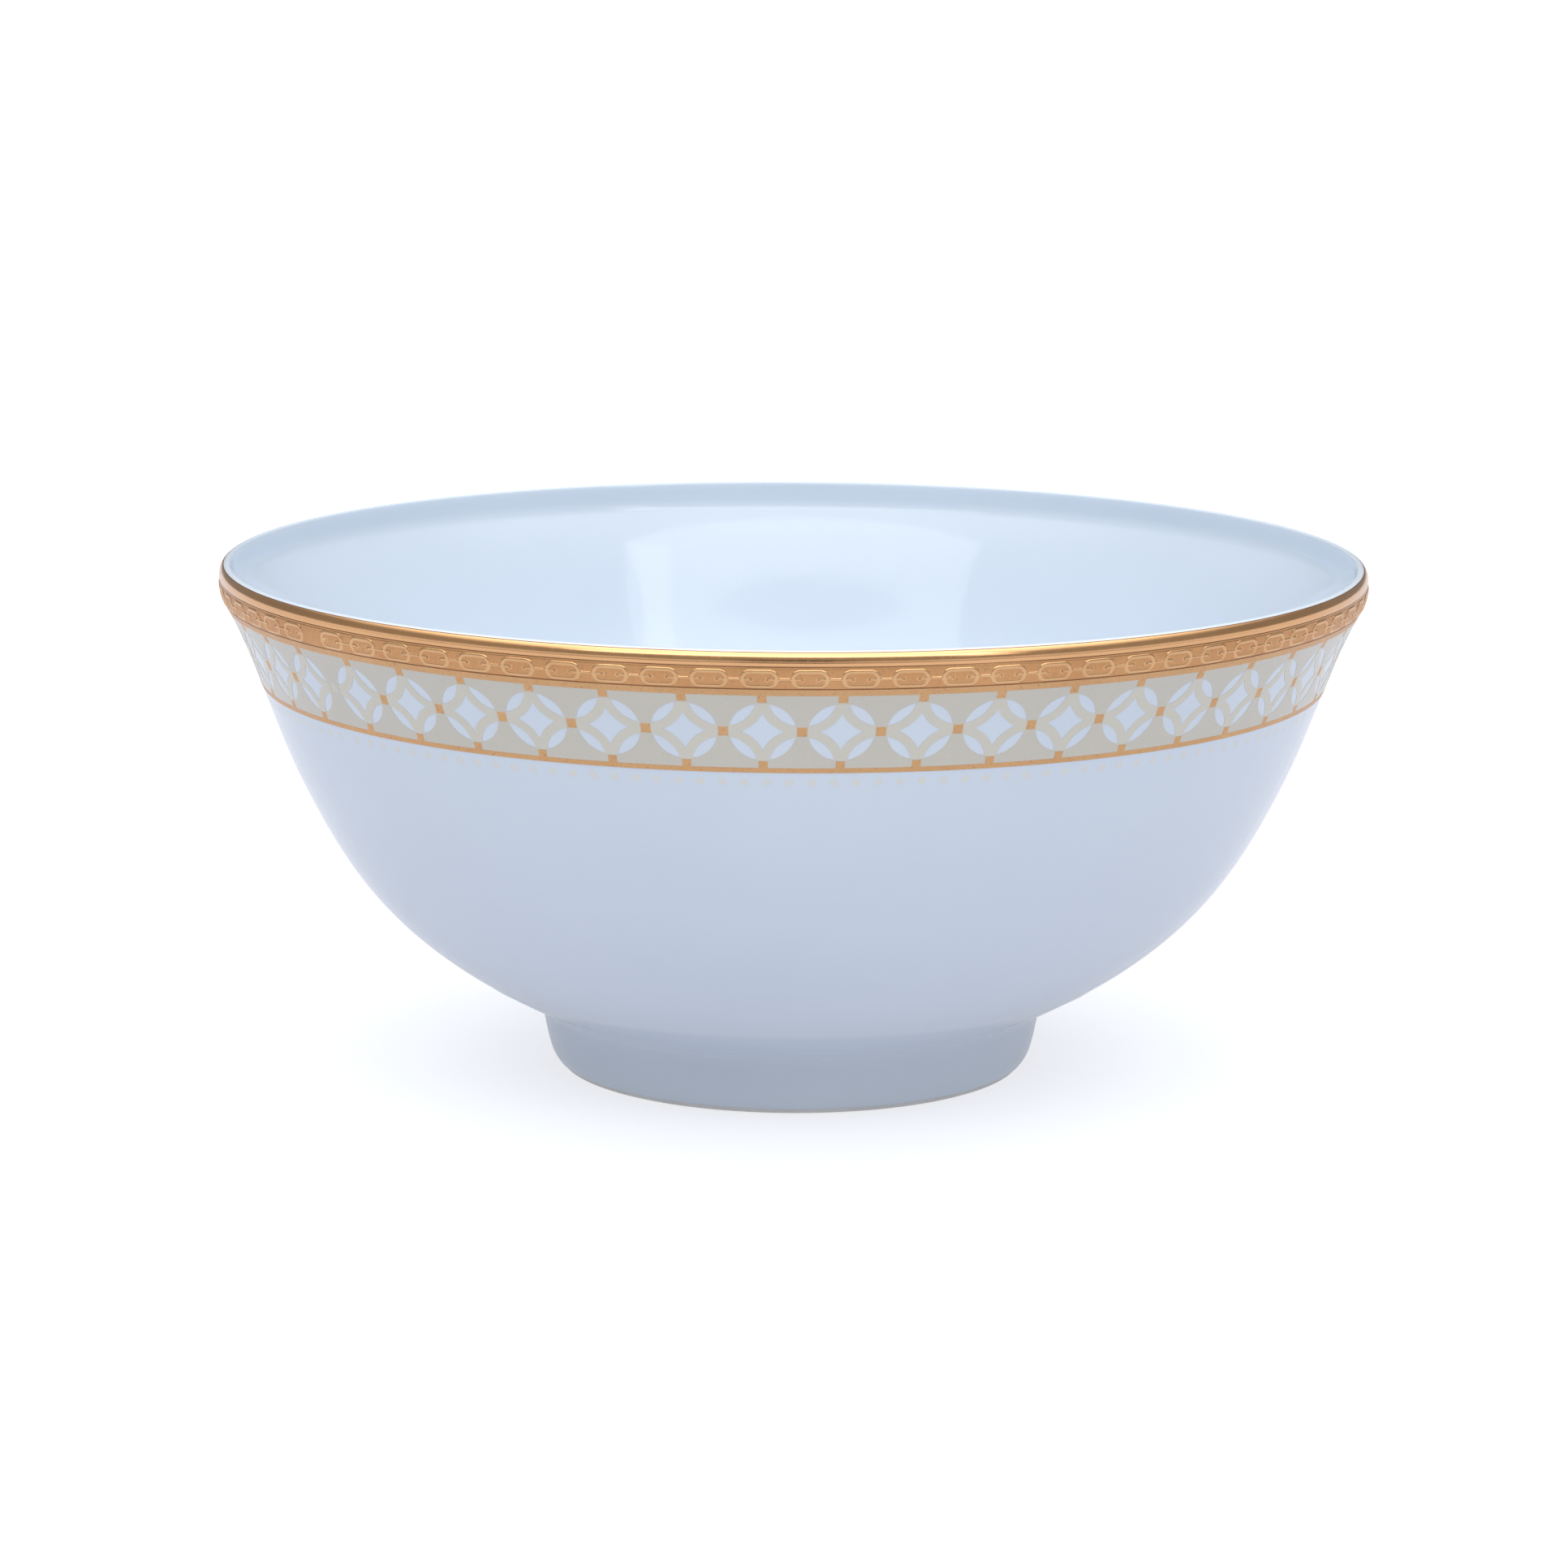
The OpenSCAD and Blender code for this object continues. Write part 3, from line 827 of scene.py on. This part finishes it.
def lattice_unit(square_left, square_right):
    loops = [leaf_loop(sx, sy) for sx in (-1, 1) for sy in (-1, 1)] + [star_loop()]
    edge_y = rows_between(Y_LOW1, Y_LINE, 0.9)
    # outline of the unit
    xs = np.concatenate([np.linspace(-HP, -TW, 8), np.linspace(-TW, TW, 3)[1:-1], np.linspace(TW, HP, 8)])
    out = [(x, Y_LOW1) for x in xs] + [(HP, y) for y in edge_y[1:-1]] \
        + [(x, Y_LINE) for x in xs[::-1]] + [(-HP, y) for y in edge_y[1:-1][::-1]]
    loops.append(np.array(out))
    loops.append(rectangle(-TW, Y_TAB, TW, Y_LINE + 0.0, 0.6)[:])
    loops.append(rectangle(-TW, Y_LOW1, TW, Y_LTAB, 0.6)[:])
    for on, x in ((square_left, -HP), (square_right, HP)):
        if on:
            a, b = (x, x + SQ) if x < 0 else (x - SQ, x)
            loops.append(rectangle(a, -SQ_Y, b, SQ_Y, 0.6))
    # the ring that the strokes end at
    loops.append(arc_points((0, 0), R_LEAF_O, 0, TAU, 96)[:-1])

    def inside(x, y):
        if in_leaf(x, y) or in_star(x, y):
            return False
        if abs(x) < TW and (y > Y_TAB or y < Y_LTAB):
            return False
        if abs(y) < SQ_Y and ((x < -HP + SQ and square_left) or (x > HP - SQ and square_right)):
            return False
        return True
    v, f = flat_mesh(loops, inside, -HP, HP, Y_LOW1, Y_LINE, 1.0)
    tags = []
    for t in f:
        c = v[t].mean(0)
        tags.append(0 if math.hypot(c[0], c[1]) < R_LEAF_O else 1)
    return v, f, tags


def lattice_mesh():
    kinds = {k: lattice_unit(*k) for k in ((True, True), (False, True), (True, False))}
    parts = []
    for k in range(UNITS):
        v, f, t = kinds[(k > 0, k < UNITS - 1)]
        mid = SEAM + SEAM_GAP / 2 + (k + 0.5) * UNIT
        p = np.stack([mid * MID_R + v[:, 0], S_MID - v[:, 1]], 1)
        parts.append((p, [q[::-1] for q in f], t))
    # the filler where the ends meet
    ys = rows_between(Y_LOW1, Y_LINE, 0.9)
    x0 = (SEAM + SEAM_GAP / 2 + UNITS * UNIT) * MID_R
    xs = np.linspace(x0, x0 + GAP_MM, 3)
    v = np.array([(x, S_MID - y) for y in ys for x in xs])
    f, t = [], []
    for j in range(len(ys) - 1):
        for i in range(2):
            a = j * 3 + i
            f += [[a, a + 3, a + 4], [a, a + 4, a + 1]]
            t += [0, 0] if abs(ys[j] + ys[j + 1]) / 2 < 1.0 else [1, 1]
    # x0 + GAP_MM is the first unit's left edge after a full turn
    parts.append((v, f, t))
    pts, faces, tags = weld(parts, 1e-3)
    pts[:, 0] /= MID_R
    return pts, faces, tags


def fix_turn(pts, faces, tags, key_tol=1e-3):
    """Joins points that are a full turn apart."""
    where, ren = {}, np.arange(len(pts))
    for i, p in enumerate(pts):
        key = (round((p[0] % TAU) * MID_R / key_tol / 4), round(p[1] / key_tol / 4)) + tuple(
            round(c / key_tol) for c in p[2:])
        hit = None
        for dx in (0, -1, 1):
            for dy in (0, -1, 1):
                hit = where.get((key[0] + dx, key[1] + dy) + key[2:], hit)
        if hit is None:
            where[key] = i
        else:
            ren[i] = hit
    used = sorted(set(ren.tolist()))
    new = {i: k for k, i in enumerate(used)}
    out, ot = [], []
    for f_, t_ in zip(faces, tags):
        q = [new[int(ren[i])] for i in f_]
        if len(set(q)) == len(q):
            out.append(q)
            ot.append(t_)
    return pts[used], out, ot


def check_turn(faces):
    """How many edges have one face, and how many more than two."""
    count = {}
    for q in faces:
        for a, b in zip(q, q[1:] + q[:1]):
            k = (min(a, b), max(a, b))
            count[k] = count.get(k, 0) + 1
    return sum(c == 1 for c in count.values()), sum(c > 2 for c in count.values())


pts, faces, tags = lattice_mesh()
pts, faces, tags = fix_turn(pts, faces, tags)
p3, f3, t3 = solid_film(pts, faces, tags, FILM, -0.03)
print("lattice open, crowded edges", check_turn(f3))
lattice = add_mesh("ivory_lattice", wrap(p3), f3, [M_STROKE, M_FIELD], face_slots=t3, sharp=math.radians(50))
finish_piece(lattice, "ivory_lattice_band")


# The two gold lines with their tabs.
def line_unit(y0, y1, t0, t1, tab_on_top):
    """Strip y0..y1 with a tab t0..t1 in its middle, corners eased."""
    xs = np.concatenate([np.linspace(-HP, -TW, 8), [-TW / 3, TW / 3], np.linspace(TW, HP, 8)])
    ys = rows_between(y0, y1, 0.6)
    tabs = rows_between(t0, t1, 0.5)
    r = 0.16
    if tab_on_top:     # the tab rises from y1 = t0 to t1
        out = [(x, y0) for x in xs] + [(HP, y) for y in ys[1:-1]] + [(x, y1) for x in xs[::-1] if x >= TW]
        out += [(TW, y) for y in tabs[1:-1]] + list(map(tuple, arc_points((TW - r, t1 - r), r, 0, math.pi / 2, 4)))
        out += list(map(tuple, arc_points((-TW + r, t1 - r), r, math.pi / 2, math.pi, 4)))
        out += [(-TW, y) for y in tabs[1:-1][::-1]]
        out += [(x, y1) for x in xs[::-1] if x <= -TW] + [(-HP, y) for y in ys[1:-1][::-1]]
    else:              # the tab hangs from y0 = t1 down to t0
        out = [(x, y0) for x in xs if x <= -TW] + [(-TW, y) for y in tabs[1:-1][::-1]]
        out += list(map(tuple, arc_points((-TW + r, t0 + r), r, math.pi, 1.5 * math.pi, 4)))
        out += list(map(tuple, arc_points((TW - r, t0 + r), r, 1.5 * math.pi, TAU, 4)))
        out += [(TW, y) for y in tabs[1:-1]] + [(x, y0) for x in xs if x >= TW]
        out += [(HP, y) for y in ys[1:-1]] + [(x, y1) for x in xs[::-1]] + [(-HP, y) for y in ys[1:-1][::-1]]
    loop = np.array(out)

    def inside(x, y):
        if y0 < y < y1:
            return True
        if abs(x) > TW or not t0 < y < t1:
            return False
        tip = t1 if tab_on_top else t0
        if abs(x) > TW - r and abs(y - tip) < r:
            return math.hypot(abs(x) - TW + r, abs(y - tip) - r) < r
        return True
    return flat_mesh([loop], inside, -HP, HP, min(y0, t0), max(y1, t1), 0.6)


def line_mesh(name, y0, y1, t0, t1, tab_on_top):
    v, f = line_unit(y0, y1, t0, t1, tab_on_top)
    parts = []
    for k in range(UNITS):
        mid = SEAM + SEAM_GAP / 2 + (k + 0.5) * UNIT
        p = np.stack([mid * MID_R + v[:, 0], S_MID - v[:, 1]], 1)
        parts.append((p, [q[::-1] for q in f], [0] * len(f)))
    ys = rows_between(y0, y1, 0.6)
    x0 = (SEAM + SEAM_GAP / 2 + UNITS * UNIT) * MID_R
    xs = np.linspace(x0, x0 + GAP_MM, 3)
    vv = np.array([(x, S_MID - y) for y in ys for x in xs])
    ff = []
    for j in range(len(ys) - 1):
        for i in range(2):
            a = j * 3 + i
            ff += [[a, a + 3, a + 4], [a, a + 4, a + 1]]
    parts.append((vv, ff, [0] * len(ff)))
    pts, faces, tags = weld(parts, 1e-3)
    pts[:, 0] /= MID_R
    pts, faces, tags = fix_turn(pts, faces, tags)
    p3, f3, t3 = solid_film(pts, faces, tags, FILM + 0.02, -0.03)
    print(name, "open, crowded edges", check_turn(f3))
    return add_mesh(name, wrap(p3), f3, [M_LINE], sharp=math.radians(50))


up_line = line_mesh("upper_line_with_tabs", Y_LINE, Y_ETCH - 0.01, Y_TAB, Y_LINE, False)
finish_piece(up_line, "upper_gold_line")
low_line = line_mesh("lower_line_with_tabs", Y_LOW0, Y_LOW1, Y_LOW1, Y_LTAB, True)
finish_piece(low_line, "lower_gold_line")


# Gold squares where the strokes cross; none where the border's ends meet.
def cushion(outline, rings, heights, centre=True):
    """Domed patch from nested copies of an outline, closed underneath."""
    n = len(outline)
    pts, faces = [], []
    for k, h in zip(rings, heights):
        pts += [(x * k, y * k, h) for x, y in outline]
    for j in range(len(rings) - 1):
        for i in range(n):
            a, b = j * n + i, j * n + (i + 1) % n
            faces.append([a, b, b + n, a + n])
    c = len(pts)
    pts.append((0, 0, heights[-1]))
    last = (len(rings) - 1) * n
    for i in range(n):
        faces.append([last + i, last + (i + 1) % n, c])
    d = len(pts)
    pts.append((0, 0, heights[0]))
    for i in range(n):
        faces.append([(i + 1) % n, i, d])
    return np.array(pts), faces


def scatter(name, angles, s, pts, faces, material, attribute=None):
    v, f, at = [], [], []
    for a in angles:
        base_i = len(v)
        p = on_wall(a + pts[:, 0] / float(np.interp(s, arc[::-1], outer[::-1, 0])), s - pts[:, 1], pts[:, 2])
        v.extend(p.tolist())
        f.extend([[i + base_i for i in q] for q in faces])
        if attribute is not None:
            at.extend(attribute)
    return add_mesh(name, v, f, [material], sharp=math.radians(55),
                    attribute=("strength", at) if attribute is not None else None)


sq_outline = rectangle(-SQ, -SQ_Y, SQ, SQ_Y, 0.3, r=0.14)
pts, faces = cushion(sq_outline, [1, 1, 0.93, 0.7, 0.35], [-0.03, 0.045, 0.07, 0.075, 0.075])
angles = [SEAM + SEAM_GAP / 2 + k * UNIT for k in range(1, UNITS)]
squares = scatter("gold_square_set", angles, S_MID, pts, faces, M_LINE)
finish_piece(squares, "gold_squares")

# Pale dots, faint at their edges.
ring = [(math.cos(TAU * k / 24), math.sin(TAU * k / 24)) for k in range(24)]
rr = [1.16, 1.16, 1.05, 0.95, 0.85, 0.72, 0.4]
hs = [-0.02, 0.004, 0.008, 0.012, 0.015, 0.018, 0.02]
fade = [0, 0, 0.12, 0.42, 0.75, 0.95, 1.0]
pts, faces = cushion(ring, [DOT_R * r for r in rr], hs)
strength = [fd for fd in fade for _ in ring] + [1.0, 0.0]
DOT_STEP = (TAU - SEAM_GAP) / DOTS
angles = [SEAM + SEAM_GAP / 2 + (k + 0.5) * DOT_STEP - 0.0106 for k in range(DOTS)]
dots = scatter("pale_dot_row", angles, S_DOT, pts, faces, M_DOT, strength)
finish_piece(dots, "ivory_dot_border")

# ---------------------------------------------------------------- studio
sc = bpy.context.scene
sc.view_settings.view_transform = "Standard"
sc.view_settings.look = "None"
sc.view_settings.exposure = 0.0
sc.view_settings.gamma = 1.0

me = bpy.data.meshes.new("studio_floor")
me.from_pydata([(-14, -14, 0), (14, -14, 0), (14, 14, 0), (-14, 14, 0)], [], [(0, 1, 2, 3)])
fl = bpy.data.objects.new("studio_floor", me)
sc.collection.objects.link(fl)
fl.location.z = -0.0002
m, nt, b = new_material("studio_floor")
b.inputs["Base Color"].default_value = (0.40, 0.41, 0.465, 1)
b.inputs["Emission Color"].default_value = (1, 1, 1, 1)
# The floor is brighter to the camera than to the bowl, as on a light table.
look = nt.nodes.new("ShaderNodeLightPath")
glow = nt.nodes.new("ShaderNodeMapRange")
nt.links.new(look.outputs["Is Camera Ray"], glow.inputs["Value"])
glow.inputs["To Min"].default_value = 0.35
glow.inputs["To Max"].default_value = 0.66
nt.links.new(glow.outputs[0], b.inputs["Emission Strength"])
b.inputs["Roughness"].default_value = 0.7
b.inputs["Specular IOR Level"].default_value = 0.1
me.materials.append(m)

world = bpy.data.worlds.new("studio")
sc.world = world
world.use_nodes = True
wn = world.node_tree
wn.nodes.clear()
wout = wn.nodes.new("ShaderNodeOutputWorld")
bg = wn.nodes.new("ShaderNodeBackground")
wn.links.new(bg.outputs[0], wout.inputs[0])
tc = wn.nodes.new("ShaderNodeTexCoord")
sep = wn.nodes.new("ShaderNodeSeparateXYZ")
wn.links.new(tc.outputs["Generated"], sep.inputs[0])


def wmath(op, a, b_=None, c=None, clamp=False):
    n = wn.nodes.new("ShaderNodeMath")
    n.operation = op
    n.use_clamp = clamp
    for i, x in enumerate((a, b_, c)):
        if x is None:
            continue
        if isinstance(x, bpy.types.NodeSocket):
            wn.links.new(x, n.inputs[i])
        else:
            n.inputs[i].default_value = x
    return n.outputs[0]


def wramp(value, a, b_, lo, hi):
    n = wn.nodes.new("ShaderNodeMapRange")
    n.interpolation_type = "SMOOTHSTEP"
    wn.links.new(value, n.inputs["Value"])
    for k, x in (("From Min", a), ("From Max", b_), ("To Min", lo), ("To Max", hi)):
        n.inputs[k].default_value = x
    return n.outputs[0]


X, Y, Z = sep.outputs
back = wramp(Y, -0.3, 0.6, 0.37, 0.29)
top = wramp(Z, 0.45, 0.98, 0.0, 2.12)                    # bright overhead
level = wmath("ADD", back, top)
# a dark patch low in front, where the camera stands
side = wmath("ABSOLUTE", X)
patch = wmath("MULTIPLY", wramp(side, 0.10, 0.22, 1.0, 0.0), wramp(Y, -0.95, -0.80, 1.0, 0.0))
patch = wmath("MULTIPLY", patch, wramp(Z, 0.12, 0.22, 1.0, 0.0))
level = wmath("MULTIPLY", level, wmath("SUBTRACT", 1.0, wmath("MULTIPLY", patch, 0.97)))
wn.links.new(level, bg.inputs["Strength"])
bg.inputs["Color"].default_value = (0.98, 0.99, 1.0, 1)
# the backdrop itself is plain white
plain = wn.nodes.new("ShaderNodeBackground")
plain.inputs["Color"].default_value = (1, 1, 1, 1)
seen = wn.nodes.new("ShaderNodeLightPath")
pick = wn.nodes.new("ShaderNodeMixShader")
wn.links.new(seen.outputs["Is Camera Ray"], pick.inputs[0])
wn.links.new(bg.outputs[0], pick.inputs[1])
wn.links.new(plain.outputs[0], pick.inputs[2])
wn.links.new(pick.outputs[0], wout.inputs[0])


def softbox(name, loc, target, sx, sy, power, colour=(1, 1, 1)):
    l = bpy.data.lights.new(name, "AREA")
    l.shape = "RECTANGLE"
    l.size, l.size_y = sx, sy
    l.energy = power
    l.color = colour
    o = bpy.data.objects.new(name, l)
    sc.collection.objects.link(o)
    o.location = loc
    o.rotation_mode = "QUATERNION"
    o.rotation_quaternion = (Vector(target) - Vector(loc)).to_track_quat("-Z", "Y")
    return o


softbox("softbox_wide", (-0.05, -1.15, 1.19), (0, 0, 0.08), 2.2, 0.42, 4.6)
softbox("softbox_side", (0.83, -1.05, 0.85), (0, 0, 0.08), 0.26, 0.60, 0.6)

cam = bpy.data.cameras.new("camera")
cam.lens, cam.sensor_width = 120.81, 36.0
cam.clip_start, cam.clip_end = 0.01, 100
co = bpy.data.objects.new("camera", cam)
sc.collection.objects.link(co)
co.matrix_world = (Matrix.Translation((-0.0000728, -1.04326, 0.25924))
                   @ Matrix.Rotation(0.00154, 4, "Z") @ Matrix.Rotation(math.pi / 2 - 0.1918, 4, "X")
                   @ Matrix.Rotation(0.00604, 4, "Z"))
sc.camera = co
